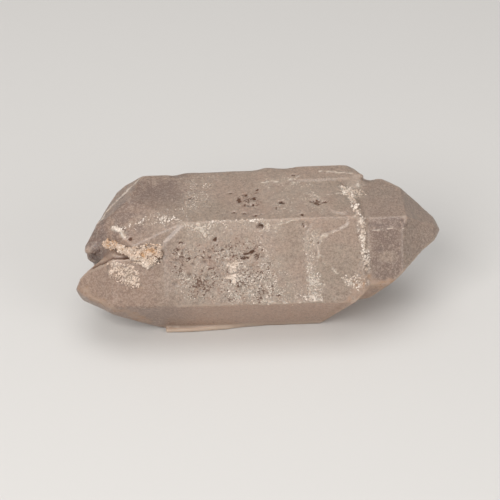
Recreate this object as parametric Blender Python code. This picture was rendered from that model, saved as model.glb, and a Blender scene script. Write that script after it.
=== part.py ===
"""Double terminated quartz: crystals grown together side by side, and the earthy crust in their left cleft.

Blender 4.5, metres, +Z up. The crystals' long axis is X and their front is -Y. The shapes are given in
millimetres: x runs along the crystals, y backwards and z up from the flat that the specimen rests on.
"""

import math
import random

import bmesh
import bpy
from mathutils import Euler, Matrix, Vector

MM = 0.001

# Height of the broad top face, and the y of the long edge between it and the front face.
TOP = 31.1
RIDGE_Y = 3.1

# Outward directions of the six long faces, in degrees from +Y towards +Z, seen along the crystals.
SIDE_ANGLES = {
    "top": 90,
    "upper_front": 150,
    "lower_front": 210,
    "bottom": 270,
    "lower_back": 330,
    "upper_back": 30,
}
ALL_SIDES = tuple(SIDE_ANGLES)
# The end faces of quartz lean inwards by this angle from the crystal's axis.
END_FACE_ANGLE = math.radians(38.2)
# A bevelling face that cuts the lower front corner of both right ends.
CORNER_FACE = (0.671, -0.394, -0.628)
# The lower front face tapers very slightly towards the left.
LOWER_FRONT_FACE = (-0.012, -0.866, -0.5)

# Gap between the quartz and the crust, and the size of the block that a crystal is cut from.
GAP = 0.3
BLOCK = 200

# Each crystal: where its axis is (y, z), how far each long face is from it, the x at which each end face
# begins on its long face, and further faces or breaks as (point, outward direction).
CRYSTALS = {
    # The thick middle of the specimen, with the flat that it rests on.
    "middle": dict(
        axis=(12.2, 15.75),
        reach=dict(top=15.35, upper_front=15.6, lower_front=18.5, bottom=15.75, lower_back=16.3, upper_back=17.2),
        left=dict(top=-18, upper_front=-23, lower_front=-20, bottom=-22, lower_back=-20, upper_back=-20),
        right=dict(top=23.3, upper_front=24.6, lower_front=30, bottom=22, lower_back=20, upper_back=24),
        cuts=[
            ((21.7, -7.4, 13.2), LOWER_FRONT_FACE),
            ((20.2, -5.2, 9.3), CORNER_FACE),
            ((24.0, 7.6, TOP), (0.57, 0.23, 0.79)),
        ],
    ),
    # The low front crystal with the left point and a broken underside.
    "front": dict(
        axis=(5, 12),
        reach=dict(top=11.9, upper_front=11.08, lower_front=10.2, bottom=11.85, lower_back=12, upper_back=13),
        left=dict(top=-35.4, upper_front=-36, lower_front=-35.2, lower_back=-25.7, upper_back=-25.8),
        right=dict.fromkeys(ALL_SIDES, 0),
        cuts=[
            ((21.7, -7.2, 13.2), LOWER_FRONT_FACE),
            ((-24.2, 0.8, 0), (-0.434, -0.414, -0.801)),
        ],
    ),
    # The upper crystal, whose left end is sloped and broken.
    "upper": dict(
        axis=(12.5, 18),
        reach=dict(top=12.95, upper_front=14.43, lower_front=13, bottom=14.5, lower_back=15, upper_back=15),
        left=dict(upper_front=-30.7, lower_front=-29, bottom=-33, lower_back=-34, upper_back=-32.3),
        right=dict.fromkeys(ALL_SIDES, 0),
        cuts=[
            ((-18.8, 3.3, 30.9), (-0.26, -0.33, 0.91)),
            ((-28.7, 21.3, 30.95), (-0.55, 0.20, 0.81)),
            ((-39.1, 9.9, 27.6), (-0.86, 0.33, 0.38)),
            ((-42.6, 8.3, 20.8), (-0.95, 0.31, -0.03)),
        ],
    ),
    # The right crystal with the right point, a bevelled ridge and a broken lower edge.
    "right": dict(
        axis=(15, 16.5),
        reach=dict(top=13, upper_front=16.7, lower_front=19.2, bottom=14.5, lower_back=12.3, upper_back=11.2),
        left=dict.fromkeys(ALL_SIDES, 10),
        right=dict(top=35.2, upper_front=34.1, lower_back=18.7, bottom=20.2, upper_back=31.4),
        cuts=[
            ((0, 4.4, 29.5), (0, -0.648, 0.761)),
            ((45.4, 8.8, 21.6), (0.86, 0.5, -0.2)),
            ((35.5, -2.7, 19.3), CORNER_FACE),
            ((25.8, -1.2, 8.8), (0.04, -0.9, -0.43)),
            ((25.8, -1.2, 8.8), (0.25, -0.15, -0.95)),
        ],
    ),
    # A low crystal along the upper back edge, blunt at the right.
    "ridge": dict(
        axis=(22, 24),
        reach=dict(top=7.5, upper_front=6.8, lower_front=10, bottom=8, lower_back=10.4, upper_back=5.6),
        left=dict.fromkeys(ALL_SIDES, 2),
        right=dict.fromkeys(ALL_SIDES, 24),
        cuts=[((27.0, 0, 0), (1, 0, 0))],
    ),
    # A smaller crystal on the hidden back, and a slim one above it.
    "side": dict(
        axis=(26.1, 10.1),
        reach=dict.fromkeys(ALL_SIDES, 7.4),
        left=dict.fromkeys(ALL_SIDES, -22),
        right=dict.fromkeys(ALL_SIDES, 14),
        cuts=[],
    ),
    "slim": dict(
        axis=(25.3, 20.7),
        reach=dict.fromkeys(ALL_SIDES, 4.4),
        left=dict.fromkeys(ALL_SIDES, -29),
        right=dict.fromkeys(ALL_SIDES, -7),
        cuts=[((-30.5, 26, 20), (-0.8, 0.2, 0.56))],
    ),
}

# Places on the broad faces are (x, distance from the ridge): down the front face, or back along the top.
# Thin overgrowths with a wavy edge: face, thickness and outline.
OVERGROWTHS = {
    "front_step": (
        "front",
        0.2,
        [(10.7, 0.5), (10.8, 7.7), (11.2, 15), (11.6, 19.5), (19, 19.5), (23.9, 13.5), (24.1, 7), (23.7, 0.5)],
    ),
    "front_patch": (
        "front",
        0.45,
        [(21.4, 1.3), (19, 3.1), (16.1, 3.8), (14.1, 4.7), (12.6, 6.5), (13, 8.7), (14.7, 10.7), (18, 13.1),
         (21.1, 15.4), (23.4, 13.1), (23.9, 8), (23.6, 2.1)],
    ),
    "top_patch": (
        "top",
        0.35,
        [(15.9, 5), (18.7, 8.2), (21.3, 7.9), (22.6, 4.6), (21.6, 1.4), (18, 1.3)],
    ),
    "top_wave": (
        "top",
        0.3,
        [(0.5, 13.9), (6, 15.2), (11.8, 16.4), (16.7, 17.4), (18, 19), (0.5, 19)],
    ),
}

# Rows of small quartz grains: face, radius and the line that they follow.
GRAIN_ROWS = {
    "right_step_top": ("top", 0.75, [(21.0, 12.4), (22.0, 10.6), (22.9, 7.8), (23.8, 4.5), (23.2, 0.9)]),
    "right_step_front": ("front", 0.65, [(23.9, 1.4), (24.4, 6.3), (24.5, 9.7), (24.5, 12.9), (23, 14.5), (21, 16.4)]),
    "wavy_line": ("front", 0.5, [(21.4, 1.3), (19, 3.1), (14.1, 4.7), (12.6, 6.5), (13, 8.7), (18, 13.1)]),
    "star": ("front", 0.6, [(-8.6, 8.9), (-7, 9.9), (-7.7, 10.6), (-7.5, 12.3), (-7.6, 14.3)]),
    "ridge_wave": ("top", 0.45, [(1, 13.9), (6, 15.2), (11.8, 16.6), (16.7, 17.6)]),
    "lower_line": ("front", 0.4, [(1.6, 20.0), (8.9, 20.3), (19.8, 19.8)]),
}
GRAIN_SPACING = 1.5
# A crust of coarser grains on the front crystal, near its point.
POINT_GRAINS = [
    (-36.4, 11.2), (-35.2, 10.4), (-33.8, 9.9), (-32.4, 10.6), (-31.2, 11.3), (-30.4, 12.8), (-35.3, 11.9),
    (-33.9, 11.8), (-32.6, 12.3), (-31.4, 13.6), (-33.2, 13.6), (-30.6, 14.9), (-32.1, 15.1),
]
POINT_GRAIN_RADIUS = 0.75

# Single rounded lumps as (centre, radius).
LUMPS = [
    ((-40.3, 7.4, 21.2), 1.7),
    ((-33.3, 4.4, 26.9), 1.0),
    ((25.9, 19.6, 30.9), 1.3),
    ((24.9, 21.2, 30.8), 1.1),
]

# Etched pits as (x, distance from the ridge, radius).
FRONT_PITS = [
    (-12.4, 7.3, 0.7), (-11.0, 8.3, 0.6), (-9.6, 9.8, 0.6), (-13.7, 9.7, 0.7), (-2.9, 11.3, 0.7),
    (-1.4, 9.2, 0.6), (0.0, 9.0, 0.7), (-3.8, 9.9, 0.5), (-2.5, 13.2, 0.7), (-1.1, 15.7, 0.6),
    (-20.6, 9.4, 0.6), (-17.4, 12.7, 0.8), (-15.1, 16.4, 0.7), (-18.4, 7.4, 0.5), (-21.0, 14.7, 0.7),
    (-10.4, 14.9, 0.7), (-5.5, 16.8, 0.5), (-0.2, 1.7, 0.6), (-13.2, 13.1, 0.8), (-16.6, 10.2, 0.6),
]
TOP_PITS = [
    (-2.4, 6.2, 0.9), (-3.9, 9.5, 0.6), (-0.9, 4.0, 0.5), (0.5, 2.4, 0.5), (5.5, 6.7, 0.5),
    (13.3, 7.3, 0.7), (15.0, 9.6, 0.4), (9.8, 1.4, 0.4), (-3.4, 2.6, 0.5), (-5.4, 7.1, 0.6),
]
PIT_DEPTH = 0.7

# The ledge under the front edge: height of its lower side, thickness, and outline as (x, y).
LEDGE_HEIGHT = 0.1
LEDGE_THICKNESS = 1.0
LEDGE_OUTLINE = [(-23.7, -1.0), (-17, -1.1), (-9, -0.7), (-5.6, -0.2), (7.2, 0.6), (8, 4), (-23.7, 4)]

# The crust: lumps along the cleft as (centre, radii), and lumps spread on the front face beside it.
CLEFT_LUMPS = [
    ((-38.6, 5.9, 23.6), (1.2, 1.1, 0.9)),
    ((-37.0, 5.0, 24.4), (1.6, 1.3, 1.2)),
    ((-35.1, 3.6, 24.7), (1.6, 1.4, 1.3)),
    ((-33.2, 2.1, 24.9), (1.5, 1.5, 1.2)),
    ((-31.4, 0.6, 25.1), (1.6, 1.6, 1.2)),
]
SPREAD_LUMPS = [(-29.9, 7.3), (-28.2, 7.8), (-26.6, 7.5), (-25.2, 7.4), (-27.4, 9.0)]
SPREAD_RADII = (1.7, 1.6, 1.2)
# Turns a lump's flat side onto the front face.
SPREAD_TILT = (math.radians(60), 0, 0)

QUARTZ_COLOUR = (0.42, 0.34, 0.29, 1)
QUARTZ_ROUGHNESS = 0.35
CRUST_COLOUR = (0.60, 0.42, 0.25, 1)
CRUST_ROUGHNESS = 0.9


def side_direction(side):
    angle = math.radians(SIDE_ANGLES[side])
    return Vector((0, math.cos(angle), math.sin(angle)))


def outward(face):
    return side_direction("top" if face == "top" else "upper_front")


def place_on(face, x, distance):
    """The point on a broad face at a place given as (x, distance from the ridge)."""
    away = Vector((0, 1, 0)) if face == "top" else Vector((0, -0.5, -math.sqrt(0.75)))
    return Vector((x, RIDGE_Y, TOP)) + distance * away


def face_placing(face):
    """A matrix whose X runs along the crystals and whose Y runs from the ridge along a broad face."""
    ridge = place_on(face, 0, 0)
    away = place_on(face, 0, 1) - ridge
    along = Vector((1, 0, 0))
    return Matrix.Translation(ridge) @ Matrix((along, away, along.cross(away))).transposed().to_4x4()


def mesh_object(name, mesh, collection):
    """Make an object of a bmesh that is in millimetres."""
    bmesh.ops.recalc_face_normals(mesh, faces=mesh.faces[:])
    bmesh.ops.scale(mesh, vec=(MM, MM, MM), verts=mesh.verts[:])
    data = bpy.data.meshes.new(name)
    mesh.to_mesh(data)
    mesh.free()
    obj = bpy.data.objects.new(name, data)
    collection.objects.link(obj)
    if collection.hide_render:
        obj.hide_render = True
        obj.display_type = "WIRE"
    return obj


def cut_flat(mesh, point, normal):
    """Cut away what lies outside one plane and close the cut with a face."""
    everything = mesh.verts[:] + mesh.edges[:] + mesh.faces[:]
    result = bmesh.ops.bisect_plane(
        mesh, geom=everything, dist=1e-5, plane_co=point, plane_no=normal, clear_outer=True
    )
    rim = [item for item in result["geom_cut"] if isinstance(item, bmesh.types.BMEdge)]
    if rim:
        bmesh.ops.contextual_create(mesh, geom=rim)


def crystal_planes(axis, reach, left, right, cuts):
    """The planes of one crystal, as (point, outward normal)."""
    planes = []
    for side, distance in reach.items():
        direction = side_direction(side)
        on_face = Vector((0, *axis)) + distance * direction
        planes.append((on_face, direction))
        for ends, sign in ((left, -1), (right, 1)):
            if side in ends:
                normal = direction * math.cos(END_FACE_ANGLE)
                normal.x = sign * math.sin(END_FACE_ANGLE)
                planes.append((Vector((ends[side], on_face.y, on_face.z)), normal))
    planes += [(Vector(point), Vector(normal).normalized()) for point, normal in cuts]
    return planes


def crystal(name, shape, collection, grow=0.0):
    """One crystal, cut from a block by its planes. grow moves every plane outwards."""
    mesh = bmesh.new()
    bmesh.ops.create_cube(mesh, size=BLOCK)
    for point, normal in crystal_planes(**shape):
        cut_flat(mesh, point + grow * normal, normal)
    return mesh_object(name, mesh, collection)


def lump(name, centre, radii, collection, turn=(0, 0, 0), rounds=2):
    """A rounded lump: a coarse sphere with its own radii, a little uneven."""
    mesh = bmesh.new()
    bmesh.ops.create_icosphere(mesh, subdivisions=rounds, radius=1)
    for vertex in mesh.verts:
        vertex.co *= chance.uniform(0.9, 1.1)
    shape = Matrix.Translation(centre) @ Euler(turn).to_matrix().to_4x4() @ Matrix.Diagonal((*radii, 1))
    bmesh.ops.transform(mesh, matrix=shape, verts=mesh.verts[:])
    return mesh_object(name, mesh, collection)


def grain(name, centre, radius):
    """A small quartz grain, turned at random."""
    radii = [radius * chance.uniform(0.75, 1.25) for _ in range(3)]
    turn = [chance.uniform(0, math.tau) for _ in range(3)]
    return lump(name, centre, radii, growths, turn, rounds=1)


def grain_row(name, face, radius, line):
    """Grains set along a line of places on a face, at uneven distances."""
    for start, end in zip(line, line[1:]):
        a = place_on(face, *start)
        b = place_on(face, *end)
        count = max(1, round((b - a).length / GRAIN_SPACING))
        for i in range(count):
            centre = a.lerp(b, (i + chance.uniform(0.1, 0.7)) / count)
            grain(f"{name}_{start[0]}_{i}", centre, radius * chance.uniform(0.7, 1.15))


def pit(name, face, x, distance, radius):
    """A pit with sloping sides, cut into a face."""
    overshoot = 0.4
    mesh = bmesh.new()
    bmesh.ops.create_cone(
        mesh, cap_ends=True, segments=6, radius1=0.3 * radius, radius2=1.2 * radius, depth=PIT_DEPTH + overshoot
    )
    stretch = Matrix.Diagonal((chance.uniform(0.8, 1.5), chance.uniform(0.8, 1.3), 1, 1))
    spin = Matrix.Rotation(chance.uniform(0, math.tau), 4, "Z")
    lean = outward(face).to_track_quat("Z", "Y").to_matrix().to_4x4()
    centre = place_on(face, x, distance) + 0.5 * (overshoot - PIT_DEPTH) * outward(face)
    bmesh.ops.transform(mesh, matrix=Matrix.Translation(centre) @ lean @ spin @ stretch, verts=mesh.verts[:])
    return mesh_object(name, mesh, hollows)


def flat_plate(name, outline, thickness, placing, collection, rounded):
    """A plate of even thickness whose middle plane is the placing's XY plane."""
    curve = bpy.data.curves.new(name, "CURVE")
    curve.dimensions = "2D"
    curve.fill_mode = "BOTH"
    curve.extrude = 0.5 * thickness
    curve.resolution_u = 2
    spline = curve.splines.new("NURBS" if rounded else "POLY")
    spline.points.add(len(outline) - 1)
    for point, (x, y) in zip(spline.points, outline):
        point.co = (x, y, 0, 1)
    spline.use_cyclic_u = True
    spline.order_u = 3
    drawn = bpy.data.objects.new(name + "_outline", curve)
    bpy.context.scene.collection.objects.link(drawn)
    bpy.context.view_layer.update()
    evaluated = drawn.evaluated_get(bpy.context.evaluated_depsgraph_get())
    data = bpy.data.meshes.new_from_object(evaluated)
    bpy.data.objects.remove(drawn)
    mesh = bmesh.new()
    mesh.from_mesh(data)
    bmesh.ops.remove_doubles(mesh, verts=mesh.verts[:], dist=1e-4)
    bmesh.ops.transform(mesh, matrix=placing, verts=mesh.verts[:])
    return mesh_object(name, mesh, collection)


def boolean(obj, name, operation, collection):
    modifier = obj.modifiers.new(name, "BOOLEAN")
    modifier.operation = operation
    modifier.operand_type = "COLLECTION"
    modifier.collection = collection
    modifier.solver = "EXACT"


def give_material(obj, name, colour, roughness):
    material = bpy.data.materials.new(name)
    material.use_nodes = True
    shader = material.node_tree.nodes["Principled BSDF"]
    shader.inputs["Base Color"].default_value = colour
    shader.inputs["Roughness"].default_value = roughness
    shader.inputs["Metallic"].default_value = 0.0
    obj.data.materials.append(material)


def new_collection(name, hidden):
    collection = bpy.data.collections.new(name)
    bpy.context.scene.collection.children.link(collection)
    collection.hide_render = hidden
    return collection


def grow_quartz():
    """All crystals, overgrowths, grains and lumps in one solid, with pits etched into it."""
    names = list(CRYSTALS)
    quartz = crystal("quartz_crystals", CRYSTALS[names[0]], parts)
    for name in names[1:]:
        crystal(name, CRYSTALS[name], growths)
    for name, (face, thickness, outline) in OVERGROWTHS.items():
        flat_plate(name, outline, 2 * thickness, face_placing(face), growths, rounded=True)
    for name, (face, radius, line) in GRAIN_ROWS.items():
        grain_row(name, face, radius, line)
    for i, place in enumerate(POINT_GRAINS):
        grain(f"point_grain_{i}", place_on("front", *place), POINT_GRAIN_RADIUS)
    for i, (centre, radius) in enumerate(LUMPS):
        lump(f"lump_{i}", centre, (radius, radius, radius), growths)
    ledge_placing = Matrix.Translation((0, 0, LEDGE_HEIGHT + 0.5 * LEDGE_THICKNESS))
    flat_plate("ledge", LEDGE_OUTLINE, LEDGE_THICKNESS, ledge_placing, growths, rounded=False)
    for i, place in enumerate(FRONT_PITS):
        pit(f"front_pit_{i}", "front", *place)
    for i, place in enumerate(TOP_PITS):
        pit(f"top_pit_{i}", "top", *place)
    boolean(quartz, "grown together", "UNION", growths)
    boolean(quartz, "etched pits", "DIFFERENCE", hollows)
    give_material(quartz, "quartz", QUARTZ_COLOUR, QUARTZ_ROUGHNESS)


def grow_crust():
    """The crust in the cleft, kept a small gap away from the crystals that it sits on."""
    crust = lump("cleft_crust", *CLEFT_LUMPS[0], parts)
    for i, (centre, radii) in enumerate(CLEFT_LUMPS[1:]):
        lump(f"cleft_lump_{i}", centre, radii, crust_lumps)
    for i, place in enumerate(SPREAD_LUMPS):
        lump(f"spread_lump_{i}", place_on("front", *place), SPREAD_RADII, crust_lumps, SPREAD_TILT)
    for name in ("middle", "front", "upper"):
        crystal(name + "_clearance", CRYSTALS[name], clearances, grow=GAP)
    boolean(crust, "lumps together", "UNION", crust_lumps)
    boolean(crust, "clear of the quartz", "DIFFERENCE", clearances)
    give_material(crust, "crust", CRUST_COLOUR, CRUST_ROUGHNESS)


def centre_on_floor():
    """Move everything so that the finished specimen's box stands centred on the world's origin."""
    bpy.context.view_layer.update()
    graph = bpy.context.evaluated_depsgraph_get()
    corners = [vertex.co.copy() for obj in parts.objects for vertex in obj.evaluated_get(graph).data.vertices]
    low = [min(corner[i] for corner in corners) for i in range(3)]
    high = [max(corner[i] for corner in corners) for i in range(3)]
    for obj in bpy.data.objects:
        obj.location = (-0.5 * (low[0] + high[0]), -0.5 * (low[1] + high[1]), -low[2])


for old in list(bpy.data.objects):
    bpy.data.objects.remove(old, do_unlink=True)

chance = random.Random(7)
parts = new_collection("double_terminated_quartz", hidden=False)
growths = new_collection("quartz_growths", hidden=True)
hollows = new_collection("quartz_pits", hidden=True)
crust_lumps = new_collection("crust_lumps", hidden=True)
clearances = new_collection("crust_clearances", hidden=True)

grow_quartz()
grow_crust()
centre_on_floor()
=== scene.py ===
"""Looks of the double terminated quartz: milky crystals, their grain crusts and the earthy crust."""
import math
import random

import bmesh
import bpy
import numpy as np
from mathutils import Euler, Matrix, Vector, noise
from mathutils.bvhtree import BVHTree


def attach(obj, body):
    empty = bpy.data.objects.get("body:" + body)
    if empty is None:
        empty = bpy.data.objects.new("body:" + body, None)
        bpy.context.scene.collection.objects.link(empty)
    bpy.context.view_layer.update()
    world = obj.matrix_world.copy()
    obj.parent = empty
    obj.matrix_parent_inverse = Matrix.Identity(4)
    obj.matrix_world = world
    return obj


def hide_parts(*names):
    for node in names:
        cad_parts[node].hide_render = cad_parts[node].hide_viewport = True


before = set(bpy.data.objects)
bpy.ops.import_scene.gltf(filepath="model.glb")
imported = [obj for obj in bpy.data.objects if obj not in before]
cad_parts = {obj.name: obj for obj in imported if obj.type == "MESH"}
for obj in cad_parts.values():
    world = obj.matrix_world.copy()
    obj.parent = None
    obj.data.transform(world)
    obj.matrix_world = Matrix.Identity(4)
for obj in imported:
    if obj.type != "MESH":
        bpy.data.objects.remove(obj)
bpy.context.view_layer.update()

# Quartz crystals
# Several milky quartz crystals grown together with one long axis, worn satin smooth by time. Their broad
# faces have low growth steps, fine lines across the crystals, etched and grainy fields, and broken ends.
MM = 0.001
MM_PER_METRE = 1000.0
QUARTZ_CELL = 0.37 * MM
# The long edge between the broad top face and the broad front face runs along x at this height and depth.
TOP_Z = 31.1 * MM
RIDGE_Y = -10.52 * MM
# Each broad face: the way across it from that edge, and the way it faces. They turn by 60 degrees, as the
# faces around a quartz crystal do.
FACE_AXES = {
    "front": (Vector((0, -0.5, -math.sqrt(0.75))), Vector((0, -math.sqrt(0.75), 0.5))),
    "top": (Vector((0, 1, 0)), Vector((0, 0, 1))),
}

# Fields on the two broad faces, as outlines of (x, distance from the long edge) in millimetres.
ROUGH_FIELD = [
    (-22.2, 6.9), (-18, 4.9), (-13.3, 5.8), (-9.2, 5.2), (-4.1, 3.7), (0.4, 4.9), (2.7, 8.6), (5, 13.5),
    (5.3, 19.6), (-0.1, 20.4), (-6.6, 19.9), (-12.6, 19.4), (-16.9, 18.8), (-20.1, 16.7), (-22.4, 12.7),
]
WHITE_FIELD = [
    (-8, 11.3), (-5, 10), (-2.2, 11.5), (0.2, 10.2), (3.3, 13.5), (5.3, 17.2), (5.3, 20.1), (-0.1, 20.4),
    (-5.3, 19.9), (-8.7, 18.1), (-9.5, 14.7),
]
SOFT_WHITE = [(-14, 6), (2, 2), (5, 8), (7, 14), (15.5, 18), (15, 20.4), (-10, 20.4), (-16, 14)]
GRAINY_COLUMN = [
    (10.8, 3.3), (13.9, 2.9), (14.8, 4.9), (13.3, 7.8), (13.5, 11.4), (14.6, 15.1), (14, 20), (11.1, 20.4),
    (10.7, 15), (10.6, 8.9),
]
PALE_BAND = [
    (-18.6, -0.2), (6.1, 0), (5.5, 4.6), (0.4, 3.9), (-4.8, 3.7), (-9.2, 5), (-13.3, 5.6), (-16.8, 4.2),
]
STAR = [
    (-7.9, 9.8), (-6.9, 10.6), (-6, 9.7), (-5.5, 10.4), (-6.1, 11.8), (-5.9, 13.1), (-4.9, 13.4), (-6.1, 14),
    (-6.6, 15.6), (-7, 14), (-8.8, 13.8), (-7.2, 12.9), (-7.4, 11.9), (-8.1, 11),
]
RIGHT_STEP = [
    (23.7, 0.4), (24.8, 0.4), (25.2, 3.3), (25.4, 5.8), (25.7, 8.2), (25.9, 11.1), (26, 13.2), (25.1, 13.2),
    (24.9, 11), (24.6, 8.2), (24.3, 5.8), (23.9, 3.3),
]
LOWER_STEP = [(19.6, 14.2), (22, 15.2), (25, 13.6), (25.2, 16), (23.7, 17.6), (21, 17.2)]
POINT_FIELD = [
    (-36.6, 10), (-34.2, 9.3), (-30.4, 10.5), (-29.5, 12.2), (-29.2, 15.4), (-31.1, 15), (-32.5, 13.3),
    (-35.8, 12.2),
]
# A dark mauve field on the top face's left part, as a painted dark reflection.
DARK_FIELD = [(-28.9, 18.2), (-17.3, 20.1), (-16.9, 9.1), (-23.7, 6.3), (-30.9, 7.9), (-32.2, 12.1)]
FROSTED_FIELD = [
    (-17.8, 17.6), (-9.9, 18.8), (-11, 8.8), (-14.1, 4), (-19, 1.9), (-26.2, 0.8), (-26.1, 4.8), (-18.9, 6),
]
PIT_FIELD = [(-5.8, 11.8), (1.4, 12.2), (1.6, 1.9), (-4.5, 3.5)]
SPECKLED_TOP = [(0.8, 18.1), (11.1, 16.6), (18, 11.1), (15.1, 1.5), (2.6, 1.4), (1.1, 8)]
TOP_STEP = [
    (20.6, 12.2), (22.5, 13.8), (25.2, 12.6), (26.3, 11.2), (24, 9.9), (23.3, 7.8), (23.6, 5.2), (24.2, 3),
    (24.6, 0.5), (23.5, 0.5), (22.9, 3), (22.5, 5.2), (22.3, 7.8), (21.2, 9.4),
]
COLUMN_TOP = [(11.4, 4.2), (14.4, 3.8), (14, 6.2), (12, 7.6), (11.2, 6.4)]
BOTTOM_BAND = [(0, 19.6), (7, 19), (14.6, 18.6), (15, 20.3), (7, 20.6), (0, 20.8)]
WHITE_RIDGE = [
    (-35.7, 4), (-34.8, 3.2), (-33.6, 2), (-32.6, -0.2), (-32, -0.1), (-32.5, 1.3), (-33.3, 3),
    (-34.6, 4.3),
]
STRAY_LUMPS = [(17, 8), (20.8, 8), (20.8, 14.5), (17, 14.5)]
RIDGE_GLINTS = [(-13, -0.2), (0.8, -0.2), (0.8, 0.4), (-13, 0.4)]
END_GLINTS = [
    (-33, 3.8), (-27, 4.4), (-21, 2.8), (-18.6, 1.4), (-19, 0.3), (-22, 1), (-27, 2.2), (-33, 2),
]

# Dark pits etched into the two faces: (x, distance from the long edge, half length along x, half width).
DARK_PITS = {
    "top": [
        (-4.5, 8.4, 0.4, 1.2), (-2.1, 6.2, 1.3, 0.6), (-0.8, 8.8, 0.5, 0.6), (-2.9, 10.3, 0.9, 0.4),
        (-6.5, 11.1, 0.6, 0.25), (0.3, 12.2, 0.5, 0.4), (-6.0, 3.3, 0.6, 0.3), (-3.6, 2.9, 0.5, 0.3),
        (-1.0, 1.9, 0.7, 0.3), (-16.2, 9.8, 0.8, 0.4), (-31.2, -0.2, 0.5, 0.4), (5.8, 6.6, 0.6, 0.5),
        (13.9, 6.9, 1.3, 0.7), (14.4, 5.8, 0.9, 0.5), (16.3, 6.3, 0.8, 0.35), (10.4, 1.5, 0.6, 0.3),
        (4.4, 4.4, 0.3, 0.3), (9.3, 17.3, 0.5, 0.3), (5.8, 17.7, 0.4, 0.25),
    ],
    "front": [
        (0.0, 1.7, 0.8, 0.7), (12.2, 5.8, 0.35, 0.35), (13.8, 6.1, 0.4, 0.3),
        (10.4, 1.6, 0.4, 0.5), (-0.7, 8.9, 0.7, 0.6), (-2.1, 7.7, 0.8, 0.5), (-3.8, 9.1, 1.0, 0.5),
        (-3.5, 8.1, 0.8, 0.35), (-12.2, 8.7, 0.5, 0.3), (-19.0, 4.9, 0.7, 0.3), (-17.2, 8.8, 0.4, 0.3),
        (-10.8, 4.4, 0.5, 0.4), (-9.3, 6.9, 0.4, 0.4),
    ],
}

# Lines in space along edges, each with its half width, in millimetres: rubbed pale, stained by iron, or open
# as a crack between two crystals, with painted shadow in it.
PALE_LINES = [
    ([(-41.5, -15.6, 13.6), (-39, -17.2, 13.2), (-36.5, -19, 12.6)], 0.3),
    (
        [
            (-28.5, 8, 30.9), (-32.3, 5.4, 28.9), (-35.5, 2.7, 27.4), (-37.5, -0.6, 26.9),
            (-38.7, -3.1, 26.7),
        ],
        0.6,
    ),
    (
        [
            (-35.2, -6.8, 27.5), (-33.8, -8.1, 27.4), (-33, -9.4, 27.9), (-32.6, -10, 27.4),
            (-32.4, -10.6, 26.9),
        ],
        0.4,
    ),
    ([(23, 7.5, 31), (25, 6, 30), (25.5, 3.5, 29)], 0.7),
    ([(27.3, -11.6, 27.5), (29.5, -11.5, 27.6)], 0.12),
    ([(31, -11.4, 27.6), (35, -11.2, 27.5)], 0.12),
]
STAINED_LINES = [
    (
        [
            (-43.5, -13.4, 14), (-40, -17.2, 13.4), (-36.6, -19.9, 12.6), (-32, -18.5, 10.4),
            (-28, -15, 4.5),
        ],
        1.3,
    ),
    ([(23.7, -19.1, 15.6), (26.3, -18.2, 15), (28.7, -18.1, 15.4), (31, -16.8, 15)], 1.7),
    ([(25, -15, 9.8), (29, -15.2, 10.5)], 1.6),
    ([(-40.5, -10.5, 20.4), (-37.5, -11.8, 22)], 1.1),
    (
        [
            (3, -13, 0.3), (12.5, -13.7, 0.7), (15.8, -14.6, 2.2), (17.8, -18, 8), (19.4, -20.1, 11.6),
            (21.3, -20.4, 14),
        ],
        0.7,
    ),
]
# The crack under the crust is painted dark: painted shadow in the cleft.
CRACKS = [
    (
        [
            (-40.7, -12.1, 19.6), (-37.4, -13.3, 22.2), (-34.6, -14, 24), (-31.3, -13.8, 24.1),
            (-29.9, -14.4, 24.1),
        ],
        0.35,
    ),
]
# The deepest pits, dark all through, as short lines.
DEEP_PITS = [
    ([(-0.1, -11.3, 29.6), (0.3, -11.4, 29.6)], 0.4),
    ([(-2.7, -4.3, 31.1), (-1.4, -4.4, 31.1)], 0.35),
    ([(5.6, -3.9, 31.1), (6.1, -3.9, 31.1)], 0.35),
    ([(13.2, -3.5, 31.1), (14.5, -3.7, 31.1)], 0.42),
]
# A dull mauve strip between the right crystal's top and front faces.
MAUVE_STRIP = [([(27, -10.7, 28.3), (36, -10.8, 28.1)], 1.0)]
# A pale veil inside the right crystal: where it is on the front face, and its half lengths, in millimetres.
VEIL_CENTRE = (30.6, 10.2)
VEIL_REACH = (2.6, 1.6)
# Lobes of the broken left end: centre, the way it bulges, how far, and its radius, in millimetres.
END_LOBES = [
    ((-41.2, -7.1, 20.6), (-0.95, -0.3, 0), 1.3, 2.8),
    ((-40.4, -4.9, 17.0), (-0.95, -0.1, -0.3), 1.3, 2.6),
    ((-39.6, -7.5, 22.8), (-0.3, -0.4, 0.85), 0.6, 2.0),
]

# Thin ragged edges of growth layers on the two faces: the line's points and its half width, in millimetres.
GROWTH_EDGES = [
    ("front", [(3.8, 3.1), (4.3, 1.6), (6.3, 0.7), (9.7, 0.4), (10.8, 0.9)], 0.18),
    ("front", [(14.1, 6.6), (15.1, 4.9), (16.8, 3.8), (18.7, 3.4), (20.4, 2.2), (21.7, 1.1)], 0.16),
    ("front", [(13.8, 7.8), (14.7, 10.7), (16.4, 12), (18, 13.3)], 0.16),
    ("front", [(0, 19.7), (4.8, 20.6), (10.3, 20.6), (14.5, 20)], 0.3),
    ("top", [(1.5, 14.7), (6.3, 15.2), (11.1, 16.6)], 0.2),
    ("top", [(16.2, 18.3), (19.9, 18), (24.1, 17.6)], 0.25),
    ("top", [(13.3, 8.5), (15.8, 9.2), (20.3, 9.3), (22.4, 6.7)], 0.15),
]


# How fast the octaves of noise fade, and how much finer each is than the one before.
OCTAVE_FADE = 0.9
OCTAVE_RATIO = 2.1
# Corners closer than this, in metres, are one corner.
WELDED_WITHIN = 1e-6
# How much of the way to its neighbours' mean a point moves in one round of smoothing.
SMOOTHING_STEP = 0.6


def scene_object(name, data):
    obj = bpy.data.objects.new(name, data)
    bpy.context.scene.collection.objects.link(obj)
    return obj


def smooth_step(low, high, values):
    share = np.clip((values - low) / (high - low), 0, 1)
    return share * share * (3 - 2 * share)


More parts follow.
